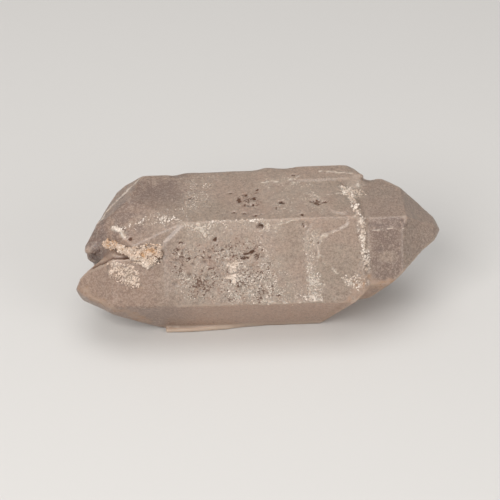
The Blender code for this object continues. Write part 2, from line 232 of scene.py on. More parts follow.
def points_of(mesh):
    points = np.empty(3 * len(mesh.vertices))
    mesh.vertices.foreach_get("co", points)
    return points.reshape(-1, 3)


def normals_of(mesh):
    normals = np.empty(3 * len(mesh.vertices))
    mesh.vertices.foreach_get("normal", normals)
    return normals.reshape(-1, 3)


def edges_of(mesh):
    edges = np.empty(2 * len(mesh.edges), dtype=np.int64)
    mesh.edges.foreach_get("vertices", edges)
    return edges.reshape(-1, 2)


def neighbour_mean(values, edges):
    """The mean of each point's neighbours, for one row of values per point."""
    count = len(values)
    ends = np.concatenate([edges[:, 0], edges[:, 1]])
    others = np.concatenate([edges[:, 1], edges[:, 0]])
    shares = np.maximum(np.bincount(ends, minlength=count), 1)
    columns = values.reshape(count, -1)
    means = [np.bincount(ends, weights=column[others], minlength=count) / shares for column in columns.T]
    return np.stack(means, axis=1).reshape(values.shape)


def noise_at(points, size, seed=0.0, octaves=1):
    """Smooth noise from about -1 to 1 whose features are about one size across."""
    offset = Vector((seed, 1.7 * seed, -0.6 * seed))
    places = [Vector(point) * (1 / size) + offset for point in points]
    if octaves == 1:
        return np.array([noise.noise(place) for place in places])
    return np.array([noise.fractal(place, OCTAVE_FADE, OCTAVE_RATIO, octaves) for place in places])


def wander(points, size, seeds):
    """How far each point strays to and fro, with one column of noise for each seed."""
    return np.stack([noise_at(points, size, seed=seed) for seed in seeds], axis=1)


def fine_copy(node, cell):
    """An evenly meshed copy of a node's solid, its points back on the solid's own flat faces."""
    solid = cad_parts[node]
    welded = bmesh.new()
    welded.from_mesh(solid.data)
    bmesh.ops.remove_doubles(welded, verts=welded.verts[:], dist=WELDED_WITHIN)
    flat_faces = BVHTree.FromBMesh(welded)
    data = bpy.data.meshes.new(node + "_welded")
    welded.to_mesh(data)
    welded.free()
    source = scene_object(node + "_source", data)
    remesh = source.modifiers.new("even mesh", "REMESH")
    remesh.mode = "VOXEL"
    remesh.voxel_size = cell
    graph = bpy.context.evaluated_depsgraph_get()
    mesh = bpy.data.meshes.new_from_object(source.evaluated_get(graph))
    bpy.data.objects.remove(source)
    mesh.materials.clear()
    for vertex in mesh.vertices:
        vertex.co = flat_faces.find_nearest(vertex.co)[0]
    return mesh


def on_face(name, x, distance):
    """The point of a broad face at x and a distance from the long edge, in millimetres."""
    away = FACE_AXES[name][0]
    return Vector((x * MM, RIDGE_Y, TOP_Z)) + distance * MM * away


def line_distance(places, line):
    """How far each place lies from a line through several points, in millimetres."""
    nearest = np.full(len(places), 1e9)
    for start, end in zip(np.array(line[:-1]), np.array(line[1:])):
        along = end - start
        share = np.clip((places - start) @ along / (along @ along), 0, 1)
        nearest = np.minimum(nearest, np.linalg.norm(places - start - share[:, None] * along, axis=1))
    return nearest


def outline_distance(places, outline):
    """How far each place lies inside an outline, in millimetres; less than nothing outside."""
    inside = np.zeros(len(places), dtype=bool)
    closed = outline + outline[:1]
    for (x0, y0), (x1, y1) in zip(closed[:-1], closed[1:]):
        crosses = (places[:, 1] > y0) != (places[:, 1] > y1)
        if y1 != y0:
            inside ^= crosses & (places[:, 0] < x0 + (places[:, 1] - y0) * (x1 - x0) / (y1 - y0))
    nearest = line_distance(places, closed)
    return np.where(inside, nearest, -nearest)


def face_places(points, name):
    """Each point's (x, distance from the long edge) on a broad face, in millimetres."""
    away = np.array(FACE_AXES[name][0])
    from_edge = (points - np.array([0, RIDGE_Y, TOP_Z])) @ away
    return np.stack([points[:, 0], from_edge], axis=1) / MM


def facing(normals, name):
    """1 where a surface faces as a broad face does, 0 where it is turned away from it."""
    return smooth_step(0.75, 0.92, normals @ np.array(FACE_AXES[name][1]))


def field(points, normals, name, outline, blur=0.8, ragged=1.2):
    """1 inside an outline on a broad face and 0 outside, with a soft and ragged edge."""
    places = face_places(points, name)
    depth = outline_distance(places, outline) + ragged * noise_at(points, 1.6 * MM, seed=3)
    return smooth_step(-blur, blur, depth) * facing(normals, name)


def near_lines(points, lines):
    """1 along lines in space and 0 away from them, with ragged edges."""
    ragged = 1.2 * wander(points, 1.8 * MM, seeds=(71, 73, 79))
    marks = []
    for line, width in lines:
        distance = line_distance(points / MM + width * ragged, line)
        marks.append(1 - smooth_step(0.5 * width, 1.5 * width, distance))
    return np.max(marks, axis=0)


def growth_edges(points, normals):
    """1 on the thin edges of growth layers, here and there broken, and 0 elsewhere."""
    ragged = 0.9 * wander(points, 1.6 * MM, seeds=(41, 43))
    broken = smooth_step(-0.35, 0.05, noise_at(points, 1.5 * MM, seed=47))
    marks = np.zeros(len(points))
    for name, line, width in GROWTH_EDGES:
        distance = line_distance(face_places(points, name) + ragged, line)
        on_line = 1 - smooth_step(0.6 * width, 1.6 * width, distance)
        marks = np.maximum(marks, on_line * facing(normals, name))
    return marks * broken


def pits(points, normals):
    """1 in the dark pits and 0 outside them, with ragged edges."""
    ragged = 0.45 * wander(points, 0.8 * MM, seeds=(61, 67))
    marks = np.zeros(len(points))
    for name, pits_of_face in DARK_PITS.items():
        places = face_places(points, name) + ragged
        for x, distance, half_length, half_width in pits_of_face:
            away = np.hypot((places[:, 0] - x) / half_length, (places[:, 1] - distance) / half_width)
            in_pit = 1 - smooth_step(0.7, 1.5, away)
            marks = np.maximum(marks, in_pit * facing(normals, name))
    return marks


def smoothed(points, edges, rounds, share=1.0):
    """Points drawn towards the mean of their neighbours, each by its own share."""
    for _ in range(rounds):
        drawn = neighbour_mean(points, edges) - points
        points = points + SMOOTHING_STEP * np.reshape(share, (-1, 1)) * drawn
    return points


def store(mesh, name, values):
    layer = mesh.attributes.new(name, "FLOAT", "POINT")
    layer.data.foreach_set("value", np.clip(values, 0, 1))


# Soft-sided regions of the surface. Each side is (axis, where the region ends, where it is full), in
# millimetres.
BROKEN_END = [("x", -35, -38), ("z", 12, 15), ("y", -12.5, -10.5)]
SOFT_CORNER = [("x", -39, -35), ("x", -24, -29), ("y", -2, -8), ("z", 7, 11), ("z", 20, 17)]
FAR_EDGE = [("x", -22, -19), ("x", 11, 8), ("y", 2, 5), ("z", 27, 29)]
RIDGE_END = [("x", 22.5, 24.5), ("x", 30, 29), ("y", 2, 4), ("z", 21, 23)]
BACK_EDGE = [("x", -32, -26), ("x", 8, 0), ("y", -2, 7), ("z", 26, 29)]
SHADED_END = [("x", -24, -28), ("y", -12, -9), ("z", 23, 26)]
LEDGE = [("z", 2.2, 1.2), ("y", -13, -14.4)]
OFF_THE_FLAT = [("z", 0.05, 0.9)]
BACK_HALF = [("y", 0, 6)]
BELOW_CLEFT = [("z", 24, 21)]
RIGHT_CRYSTAL = [("x", 25.5, 28)]
CRUSTED_STEPS = [("x", 20, 23)]
# Painted shade: faces turned down in the left part are darkened.
PAINTED_SHADE_UNDER_LEFT = [("x", -12, -24)]
DULL_LEFT = [("x", -17, -22)]
WARM_LEFT = [("x", -14, -34)]
# The far upper edge leans back a little.
BACK_EDGE_SHIFT = np.array([0, 0.8, 0.15])
# Wear rounds each tip, which is then drawn out again to its full length: both are whole up to the first
# distance from the tip and gone at the second, in millimetres.
TIP_ROUNDING = (1.4, 4.2)
TIP_DRAWN = (1.5, 8)

# How rough and how white the fields are: share, face, outline, and how blurred and ragged its edge is.
ROUGH_FIELDS = [
    (1.0, "front", ROUGH_FIELD, 1.5, 2.0),
    (0.95, "front", POINT_FIELD, 1.2, 1.6),
    (0.85, "top", PIT_FIELD, 0.8, 1.2),
    (0.5, "top", SPECKLED_TOP, 1.5, 1.2),
]
WHITE_FIELDS = [
    (0.68, "front", WHITE_FIELD, 2.2, 2.5),
    (0.5, "front", ROUGH_FIELD, 2.0, 2.5),
    (0.48, "front", SOFT_WHITE, 3.0, 2.5),
    (0.7, "front", GRAINY_COLUMN, 1.4, 1.8),
    (1.0, "front", STAR, 0.35, 0.3),
    (0.75, "front", RIGHT_STEP, 0.8, 1.0),
    (0.7, "front", LOWER_STEP, 1.0, 1.2),
    (0.6, "front", POINT_FIELD, 1.0, 1.2),
    (0.45, "top", FROSTED_FIELD, 3.0, 2.5),
    (0.45, "top", SPECKLED_TOP, 1.5, 1.2),
    (0.75, "top", TOP_STEP, 0.8, 1.0),
    (0.6, "front", PALE_BAND, 1.5, 1.2),
]

# Heights and depths of the relief, in millimetres.
GROWTH_LINE_HEIGHT = 0.012
WAVE_HEIGHT = 0.06
LOW_STEP_HEIGHT = 0.03
GRAINY_HEIGHT = 0.09
GROWTH_EDGE_HEIGHT = 0.05
PIT_DEPTH = 0.3
CRACK_DEPTH = 0.5
CRUSTED_STEP_HEIGHT = 0.22
BROKEN_HEIGHT = 0.30


def region(points, sides):
    """1 inside a soft-sided region and 0 outside it."""
    share = np.ones(len(points))
    for axis, end, full in sides:
        share *= smooth_step(end, full, points[:, "xyz".index(axis)] / MM)
    return share


def strongest(points, normals, fields):
    """The strongest of several fields at each point."""
    strengths = [share * field(points, normals, *edge) for share, *edge in fields]
    return np.max(strengths, axis=0)


def rounded_by_wear(points, edges, off_flat):
    """Edges rounded unevenly and the two tips the most, with each tip drawn out again to where it was."""
    tips = points[[points[:, 0].argmin(), points[:, 0].argmax()]]
    to_tip = np.min(np.linalg.norm(points[:, None] - tips, axis=2), axis=1)
    wear = 0.6 + 0.4 * noise_at(points, 6 * MM, seed=13)
    points = smoothed(points, edges, rounds=4, share=wear * off_flat)
    points = smoothed(points, edges, rounds=90, share=1 - smooth_step(*TIP_ROUNDING, to_tip / MM))
    for tip, rounded in zip(tips, points[[points[:, 0].argmin(), points[:, 0].argmax()]]):
        drawn = 1 - smooth_step(*TIP_DRAWN, np.linalg.norm(points - rounded, axis=1) / MM)
        points += drawn[:, None] * (tip - rounded)
    return points


def worn_shape(points, edges, normals, off_flat):
    """The crystals' shape after wear, and how much each point belongs to the broken left end."""
    points = rounded_by_wear(points, edges, off_flat)
    for centre, way, bulge, radius in END_LOBES:
        near = 1 - smooth_step(0.2 * radius, radius, np.linalg.norm(points / MM - centre, axis=1))
        points += near[:, None] * bulge * MM * np.array(way)
    soft_corner, broken_end = region(points, SOFT_CORNER), region(points, BROKEN_END)
    points = smoothed(points, edges, rounds=40, share=soft_corner)
    points = smoothed(points, edges, rounds=20, share=broken_end)
    far_edge, ridge_end, back_edge = (region(points, sides) for sides in (FAR_EDGE, RIDGE_END, BACK_EDGE))
    points = smoothed(points, edges, rounds=40, share=far_edge)
    points = smoothed(points, edges, rounds=20, share=field(points, normals, "front", POINT_FIELD, blur=1.5))
    points = smoothed(points, edges, rounds=40, share=ridge_end)
    points = smoothed(points, edges, rounds=30, share=field(points, normals, "top", STRAY_LUMPS))
    points = smoothed(points, edges, rounds=6, share=field(points, normals, "front", RIGHT_STEP, blur=1.5))
    points += back_edge[:, None] * MM * BACK_EDGE_SHIFT
    return points, broken_end


def surface_masks(points, normals, broken_end):
    """Where the surface is rough, white, pitted, cracked or dark, or has a pale growth edge."""
    back = (1 - facing(normals, "top")) * region(points, BACK_HALF)
    back *= smooth_step(0.05, 0.4, noise_at(points, 9 * MM, seed=51))
    rough_end = (0.5 + 0.4 * region(points, BELOW_CLEFT)) * broken_end
    facing_down = smooth_step(-0.2, -0.4, normals[:, 2])
    veil_places = (face_places(points, "front") - VEIL_CENTRE) / VEIL_REACH
    veil = 1 - smooth_step(0.5, 1.2, np.hypot(veil_places[:, 0], veil_places[:, 1]))
    patchy = smooth_step(-0.45, 0.25, noise_at(points, 2.5 * MM, seed=57, octaves=3))
    return {
        "rough": np.max([strongest(points, normals, ROUGH_FIELDS), 0.3 * back, rough_end], axis=0),
        "white": np.maximum(strongest(points, normals, WHITE_FIELDS), 0.5 * back),
        "growth": np.maximum(growth_edges(points, normals), near_lines(points, PALE_LINES)),
        "pit": pits(points, normals),
        # Painted shadow in the cracks, and the deep pits, dark in themselves.
        "crack": near_lines(points, CRACKS + DEEP_PITS),
        "dark": np.max([
            # Painted dark reflection on the top face's left part.
            0.9 * field(points, normals, "top", DARK_FIELD, blur=6, ragged=2),
            # Painted shade on the right crystal, most on its front faces, less in its veil.
            region(points, RIGHT_CRYSTAL) * (0.35 + 0.48 * facing(normals, "front")) * (1 - 0.8 * veil),
            # Painted shade on the broken left end.
            broken_end,
            near_lines(points, MAUVE_STRIP),
            0.8 * region(points, SHADED_END) * patchy,
            # Painted shade on faces turned down in the left part.
            0.6 * region(points, PAINTED_SHADE_UNDER_LEFT) * facing_down,
            0.3 * region(points, DULL_LEFT),
        ], axis=0),
    }


def relief(points, normals, masks, broken_end):
    """Height in millimetres: lines across the crystals, low steps, and uneven grainy and broken areas."""
    long_face = 1 - smooth_step(0.25, 0.5, np.abs(normals[:, 0]))
    lines = noise_at(points * np.array([1, 0.06, 0.06]), 0.9 * MM, seed=11)
    waves = noise_at(points, 9 * MM, seed=5)
    steps = 3 * noise_at(points * np.array([1, 0.6, 0.6]), 7 * MM, seed=8)
    steps = np.floor(steps) + smooth_step(0.0, 0.3, steps - np.floor(steps))
    bumps = noise_at(points, 1.1 * MM, seed=2, octaves=3)
    crusted = smooth_step(0.5, 0.75, masks["white"]) * region(points, CRUSTED_STEPS)
    height = GROWTH_LINE_HEIGHT * long_face * lines + WAVE_HEIGHT * waves + LOW_STEP_HEIGHT * steps
    height += GRAINY_HEIGHT * np.maximum(masks["rough"], masks["white"]) * bumps
    height += GROWTH_EDGE_HEIGHT * masks["growth"] - PIT_DEPTH * masks["pit"] - CRACK_DEPTH * masks["crack"]
    height += CRUSTED_STEP_HEIGHT * crusted * bumps
    height += BROKEN_HEIGHT * broken_end * noise_at(points, 4.5 * MM, seed=21, octaves=3)
    return height


def worn_quartz():
    """The quartz's fine surface, with masks: grainy, dark, stained, hollow, and a painted edge highlight."""
    mesh = fine_copy("quartz_crystals", QUARTZ_CELL)
    points = points_of(mesh)
    edges = edges_of(mesh)
    face_normals = normals_of(mesh)
    off_flat = region(points, OFF_THE_FLAT)
    points, broken_end = worn_shape(points, edges, face_normals, off_flat)
    masks = surface_masks(points, face_normals, broken_end)
    warm_left, ledge = region(points, WARM_LEFT), region(points, LEDGE)
    height = relief(points, face_normals, masks, broken_end)
    points += (height * off_flat)[:, None] * MM * face_normals
    mesh.vertices.foreach_set("co", points.ravel())
    mesh.update()
    mesh.shade_smooth()

    # Hollows are darkened and raised edges are painted pale as a highlight: both are read from how the
    # surface bends.
    normals = normals_of(mesh)
    bend = np.einsum("ij,ij->i", neighbour_mean(points, edges) - points, normals) / QUARTZ_CELL
    for _ in range(2):
        bend = neighbour_mean(bend, edges)
    point_clay = 0.45 * field(points, face_normals, "front", POINT_FIELD, blur=1)
    star = field(points, face_normals, "front", STAR, blur=0.35, ragged=0.3)
    masks["white"] = np.maximum(masks["white"], masks["growth"])
    masks.update({
        "hollow": smooth_step(0.03, 0.16, bend),
        # Painted highlight: raised edges are painted pale.
        "edge_highlight": smooth_step(0.03, 0.07, -bend),
        # Faces turned down are painted lighter and warmer as painted light from below; the left part is
        # warmer too.
        "warm": np.maximum(smooth_step(-0.1, -0.4, normals[:, 2]), 0.6 * warm_left),
        "stain": np.max([near_lines(points, STAINED_LINES), point_clay, 0.5 * ledge], axis=0),
        "cream": np.maximum(ledge, 0.5 * star),
    })
    for name, values in masks.items():
        store(mesh, name, values)
    return mesh


def shader_node(tree, kind, inputs=None, **settings):
    """A node with its settings and, by socket name or number, its plain values and links."""
    made = tree.nodes.new("ShaderNode" + kind)
    for key, value in settings.items():
        setattr(made, key, value)
    for key, value in (inputs or {}).items():
        if isinstance(value, bpy.types.NodeSocket):
            tree.links.new(value, made.inputs[key])
        else:
            made.inputs[key].default_value = value
    return made


def new_group(name, inputs, outputs):
    """A shader node group with float, colour or vector sockets, given as name: (kind, default)."""
    group = bpy.data.node_groups.new(name, "ShaderNodeTree")
    for socket_name, (kind, default) in inputs.items():
        socket = group.interface.new_socket(socket_name, in_out="INPUT", socket_type="NodeSocket" + kind)
        if default is not None:
            socket.default_value = default
    for socket_name, kind in outputs.items():
        group.interface.new_socket(socket_name, in_out="OUTPUT", socket_type="NodeSocket" + kind)
    return group, group.nodes.new("NodeGroupInput"), group.nodes.new("NodeGroupOutput")


def math_node(tree, operation, *values):
    return shader_node(tree, "Math", dict(enumerate(values)), operation=operation).outputs[0]


def times(tree, first, second):
    return math_node(tree, "MULTIPLY", first, second)


def ramp(tree, value, low, high):
    """0 below low, 1 above high, and a smooth rise between them."""
    sockets = {"Value": value, "From Min": low, "From Max": high}
    return shader_node(tree, "MapRange", sockets, interpolation_type="SMOOTHSTEP").outputs[0]


def mixed(tree, share, first, second):
    made = shader_node(tree, "Mix", data_type="RGBA")
    for key, value in (("Factor_Float", share), ("A_Color", first), ("B_Color", second)):
        socket = next(s for s in made.inputs if s.identifier == key)
        if isinstance(value, bpy.types.NodeSocket):
            tree.links.new(value, socket)
        else:
            socket.default_value = value
    return next(s for s in made.outputs if s.identifier == "Result_Color")


def grain_group():
    """Fine mineral grain: white grains, dark specks in hollows between them, and the height of both."""
    group, given, result = new_group(
        "mineral_grain",
        {
            "Place": ("Vector", None),
            "Grain Size": ("Float", 0.35),
            "White Share": ("Float", 0.5),
            "Speck Share": ("Float", 0.5),
        },
        {"White": "Float", "Speck": "Float", "Height": "Float"},
    )
    place = given.outputs["Place"]
    scale = math_node(group, "DIVIDE", MM_PER_METRE, given.outputs["Grain Size"])

    def noise_of(share_of_scale, detail, seed):
        sockets = {"Vector": place, "W": seed, "Detail": detail, "Roughness": 0.6}
        sockets["Scale"] = times(group, scale, share_of_scale)
        return shader_node(group, "TexNoise", sockets, noise_dimensions="4D").outputs[0]

    def spots(share, least, reach, seed):
        """Irregular spots that cover more where the share is high, denser in some patches than others."""
        threshold = math_node(group, "MULTIPLY_ADD", share, -reach, least)
        patches = noise_of(0.12, 2.0, seed)
        single = times(group, noise_of(1.0, 3.0, seed + 5), 0.65)
        both = math_node(group, "MULTIPLY_ADD", patches, 0.35, single)
        return ramp(group, both, threshold, math_node(group, "ADD", threshold, 0.05))

    white = spots(given.outputs["White Share"], 0.76, 0.26, 0.0)
    speck = spots(given.outputs["Speck Share"], 0.79, 0.255, 20.0)
    group.links.new(white, result.inputs["White"])
    group.links.new(speck, result.inputs["Speck"])
    group.links.new(math_node(group, "SUBTRACT", white, speck), result.inputs["Height"])
    return group


CREAM_CLAY = (0.60, 0.46, 0.36, 1)
OCHRE = (0.50, 0.30, 0.165, 1)
RUST = (0.22, 0.11, 0.06, 1)


def earth_group():
    """Earthy colour: cream clay and ochre to rust iron oxide, in soft patches."""
    group, given, result = new_group(
        "earthy_colour",
        {"Place": ("Vector", None), "Patch Size": ("Float", 3.0)},
        {"Colour": "Color", "Thickness": "Float"},
    )
    place = given.outputs["Place"]
    scale = math_node(group, "DIVIDE", MM_PER_METRE, given.outputs["Patch Size"])
    sockets = {"Vector": place, "Scale": scale, "Detail": 5.0, "Roughness": 0.6}
    patches = shader_node(group, "TexNoise", sockets).outputs[0]
    sockets = {"Vector": place, "Scale": times(group, scale, 3.1), "Detail": 3.0}
    finer = shader_node(group, "TexNoise", sockets).outputs[0]
    cream_to_ochre = mixed(group, ramp(group, patches, 0.48, 0.66), CREAM_CLAY, OCHRE)
    colour = mixed(group, ramp(group, finer, 0.6, 0.75), cream_to_ochre, RUST)
    group.links.new(colour, result.inputs["Colour"])
    group.links.new(ramp(group, patches, 0.22, 0.5), result.inputs["Thickness"])
    return group


mineral_grain = grain_group()
earthy_colour = earth_group()

QUARTZ_BODY = (0.405, 0.303, 0.240, 1)
QUARTZ_GREENISH = (0.382, 0.305, 0.242, 1)
# Mauve is also the colour of painted shade and a painted dark reflection.
QUARTZ_MAUVE = (0.198, 0.141, 0.120, 1)
# Lighter warm colour of faces turned down, as painted light from below, and of the left part.
QUARTZ_WARM = (0.48, 0.31, 0.222, 1)
QUARTZ_WHITE = (0.80, 0.70, 0.60, 1)
QUARTZ_PALE_EDGE = (0.55, 0.43, 0.35, 1)
BROWN_FILM = (0.37, 0.22, 0.16, 1)
IRON_FILM = (0.28, 0.155, 0.10, 1)
# Dark brown of dirt in specks and pits, and painted shadow in cracks.
DARK_DIRT_AND_SHADE = (0.12, 0.055, 0.03, 1)
QUARTZ_IOR = 1.544
# Milky quartz lets some light through and scatters more of it under its surface.
QUARTZ_CLEARNESS = 0.3
SCATTERED_SHARE = 0.45
SCATTER_DEPTH = 2.2 * MM
SCATTER_COLOUR = (1.0, 0.75, 0.6)
FROST_DEPTH = 0.15 * MM
FROST_STRENGTH = 0.8
# How much of the colour under it each layer covers where it is strongest.
VEIL_COVER = 0.22
FROSTED_COVER = 0.15
FILM_COVER = 0.35
GRAIN_COVER = 0.75
EDGE_HIGHLIGHT_COVER = 0.58
GROWTH_EDGE_COVER = 0.65
IRON_COVER = 0.75
CLAY_COVER = 0.55
SPECK_COVER = 0.85
PALE_MOTTLE_COVER = 0.6
DULL_MOTTLE_COVER = 0.5
# Sizes of the patterns in the quartz's colour and frost, in millimetres.
CLOUD_SIZE = 11
VEIL_SIZE = 3.5
EARTH_PATCH_SIZE = 2.5
FILM_PATCH_SIZE = 2.4
BROKEN_RIM_SIZE = 0.6
GRAIN_SIZE = 0.5
PIT_EDGE_SIZE = 0.45
FROST_SIZE = 0.35
# Two sizes of mottle: size, detail and roughness of its noise, and between which values it pales and dulls.
MOTTLES = [
    (0.7, 5.0, 0.65, (0.49, 0.66), (0.5, 0.33)),
    (0.36, 3.0, 0.7, (0.5, 0.66), (0.5, 0.34)),
]


def mask(tree, name):
    return shader_node(tree, "Attribute", attribute_name=name).outputs["Fac"]


def noise_node(tree, place, size, detail=2.0, **more):
    """Noise whose features are about one size across, in millimetres."""
    sockets = {"Vector": place, "Scale": MM_PER_METRE / size, "Detail": detail, **more}
    return shader_node(tree, "TexNoise", sockets).outputs[0]


def mottled(tree, place, colour):
    """A colour with pale and dull spots of two sizes."""
    for size, detail, roughness, pale_range, dull_range in MOTTLES:
        pattern = noise_node(tree, place, size, detail, Roughness=roughness)
        pale = times(tree, ramp(tree, pattern, *pale_range), PALE_MOTTLE_COVER)
        dull = times(tree, ramp(tree, pattern, *dull_range), DULL_MOTTLE_COVER)
        colour = mixed(tree, dull, mixed(tree, pale, colour, QUARTZ_PALE_EDGE), QUARTZ_MAUVE)
    return colour


def clear_colour(tree, place, veils):
    """The quartz's colour: clouds, veils and a fine mottle, warm or mauve in places, partly painted light and
    shade.
    """
    clouds = ramp(tree, noise_node(tree, place, CLOUD_SIZE, Distortion=0.6), 0.35, 0.65)
    colour = mixed(tree, clouds, QUARTZ_BODY, QUARTZ_GREENISH)
    # Painted light from below on faces turned down.
    colour = mixed(tree, mask(tree, "warm"), colour, QUARTZ_WARM)
    # Mauve tones, painted shade and a painted dark reflection.
    colour = mixed(tree, mask(tree, "dark"), colour, QUARTZ_MAUVE)
    veiled = times(tree, ramp(tree, veils, 0.48, 0.72), VEIL_COVER)
    return mottled(tree, place, mixed(tree, veiled, colour, QUARTZ_PALE_EDGE))


def grown_stained_and_highlit(tree, place, colour, grain, earth):
    """White grains, painted edge highlights, growth edges, a brown film, and iron stains and clay over the
    colour.
    """
    colour = mixed(tree, times(tree, mask(tree, "white"), FROSTED_COVER), colour, QUARTZ_WHITE)
    film_patches = ramp(tree, noise_node(tree, place, FILM_PATCH_SIZE, 4.0), 0.45, 0.62)
    film = times(tree, film_patches, mask(tree, "rough"))
    colour = mixed(tree, times(tree, film, FILM_COVER), colour, BROWN_FILM)
    colour = mixed(tree, times(tree, grain.outputs["White"], GRAIN_COVER), colour, QUARTZ_WHITE)
    # Painted highlight on raised edges.
    colour = mixed(tree, times(tree, mask(tree, "edge_highlight"), EDGE_HIGHLIGHT_COVER), colour, QUARTZ_PALE_EDGE)
    broken = ramp(tree, noise_node(tree, place, BROKEN_RIM_SIZE, 3.0), 0.35, 0.6)
    growth = times(tree, mask(tree, "growth"), broken)
    colour = mixed(tree, times(tree, growth, GROWTH_EDGE_COVER), colour, QUARTZ_WHITE)
    stain = mask(tree, "stain")
    colour = mixed(tree, times(tree, stain, IRON_COVER), colour, IRON_FILM)
    clay = times(tree, stain, times(tree, earth.outputs["Thickness"], CLAY_COVER))
    colour = mixed(tree, clay, colour, earth.outputs["Colour"])
    return mixed(tree, mask(tree, "cream"), colour, CREAM_CLAY)


def dirt_and_shade_share(tree, place, grain):
    """Dirt and painted shade: specks between grains, hollows of rough fields, pits, and painted shadow in
    cracks.
    """
    # Hollows are darkened, most in the rough fields.
    hollow_darkening = math_node(tree, "MULTIPLY_ADD", mask(tree, "rough"), 0.5, 0.3)
    in_hollows = times(tree, mask(tree, "hollow"), hollow_darkening)
    specks = times(tree, grain.outputs["Speck"], SPECK_COVER)
    edge_noise = noise_node(tree, place, PIT_EDGE_SIZE, 3.0)
    ragged_pit = math_node(tree, "MULTIPLY_ADD", edge_noise, 2.2, mask(tree, "pit"))
    pit_or_crack = math_node(tree, "MAXIMUM", ramp(tree, ragged_pit, 1.5, 2.0), mask(tree, "crack"))
    return math_node(tree, "MAXIMUM", math_node(tree, "MAXIMUM", specks, in_hollows), pit_or_crack)


def quartz_material():
    material = bpy.data.materials.new("milky_quartz")
    material.use_nodes = True
    tree = material.node_tree
    shader = tree.nodes["Principled BSDF"]
    place = shader_node(tree, "TexCoord").outputs["Object"]
    rough, white = mask(tree, "rough"), mask(tree, "white")
    white_share = math_node(tree, "MULTIPLY_ADD", white, 0.8, 0.42)
    sockets = {"Place": place, "Grain Size": GRAIN_SIZE, "White Share": white_share, "Speck Share": rough}
    grain = shader_node(tree, "Group", sockets, node_tree=mineral_grain)
    sockets = {"Place": place, "Patch Size": EARTH_PATCH_SIZE}
    earth = shader_node(tree, "Group", sockets, node_tree=earthy_colour)
    veils = noise_node(tree, place, VEIL_SIZE, 5.0, Distortion=1.2)
    dirt_and_shade = dirt_and_shade_share(tree, place, grain)
    colour = grown_stained_and_highlit(tree, place, clear_colour(tree, place, veils), grain, earth)
    tree.links.new(mixed(tree, dirt_and_shade, colour, DARK_DIRT_AND_SHADE), shader.inputs["Base Color"])

    uneven = math_node(tree, "MAXIMUM", math_node(tree, "MAXIMUM", rough, white), mask(tree, "stain"))
    satin = math_node(tree, "MULTIPLY_ADD", veils, 0.2, 0.24)
    roughness = math_node(tree, "MULTIPLY_ADD", uneven, 0.2, satin)
    tree.links.new(math_node(tree, "MAXIMUM", roughness, times(tree, dirt_and_shade, 0.9)), shader.inputs["Roughness"])
    frost_share = math_node(tree, "MULTIPLY_ADD", uneven, 0.5, 0.25)
    frost = times(tree, noise_node(tree, place, FROST_SIZE, 3.0), frost_share)
    height = math_node(tree, "ADD", frost, times(tree, grain.outputs["Height"], 0.7))
    sockets = {"Height": height, "Strength": FROST_STRENGTH, "Distance": FROST_DEPTH}
    bump = shader_node(tree, "Bump", sockets)
    tree.links.new(bump.outputs[0], shader.inputs["Normal"])
    shader.inputs["IOR"].default_value = QUARTZ_IOR
    shader.inputs["Transmission Weight"].default_value = QUARTZ_CLEARNESS
    shader.inputs["Subsurface Weight"].default_value = SCATTERED_SHARE
    shader.inputs["Subsurface Radius"].default_value = SCATTER_COLOUR
    shader.inputs["Subsurface Scale"].default_value = SCATTER_DEPTH
    return material


quartz = scene_object("quartz", worn_quartz())
quartz.data.materials.append(quartz_material())
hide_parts("quartz_crystals")
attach(quartz, "root")

# Quartz grains
# Small crystals of the same quartz that grew late on the steps and in patches on the front faces. They are
# whiter than the crystals under them because each is small and full of faces; glint patches are painted
# glints.
chance = random.Random(12)
# Each patch: face, outline, number of grains, their half length and how far they stray in millimetres, and
# how much clay is on them.
GRAIN_PATCHES = [
    ("front", POINT_FIELD, 520, 0.27, 0.45, 0.8),
    ("front", STAR, 300, 0.22, 0.15, 0.4),
    ("front", WHITE_FIELD, 650, 0.16, 0.45, 0.1),
    ("front", SOFT_WHITE, 700, 0.12, 0.45, 0.1),
    ("front", RIGHT_STEP, 540, 0.24, 0.35, 0.1),
    ("front", LOWER_STEP, 170, 0.22, 0.6, 0.2),
    ("front", GRAINY_COLUMN, 260, 0.15, 0.45, 0.1),
    ("front", ROUGH_FIELD, 800, 0.15, 0.45, 0.3),
    ("top", TOP_STEP, 520, 0.25, 0.35, 0.1),
    ("top", FROSTED_FIELD, 260, 0.14, 0.45, 0.0),
    # White grains set as painted glints along the long edge and the upper left end.
    ("top", RIDGE_GLINTS, 200, 0.19, 0.15, 0.0),
    ("top", END_GLINTS, 200, 0.2, 0.35, 0.0),
    ("top", WHITE_RIDGE, 150, 0.22, 0.1, 0.1),
    ("front", COLUMN_TOP, 130, 0.17, 0.3, 0.1),
    ("front", BOTTOM_BAND, 260, 0.15, 0.4, 0.1),
]
SIDES_OF_GRAIN = 6
# How much longer or shorter than its patch's size a grain is, and how wide for its length.
GRAIN_LENGTHS = (0.5, 1.5)
GRAIN_WIDTHS = (0.6, 1.3)
# Grains are missing where this noise is low, so they stand in clumps.
CLUMP_SIZE = 0.9 * MM
CLUMP_LEAST = -0.25
# How high above a face a line starts that looks for the surface below.
DROP_HEIGHT = 3 * MM
GRAIN_WHITE = (0.80, 0.72, 0.64, 1)
GRAIN_SHADED = (0.52, 0.42, 0.34, 1)
GRAIN_TONES_PER_METRE = 420.0


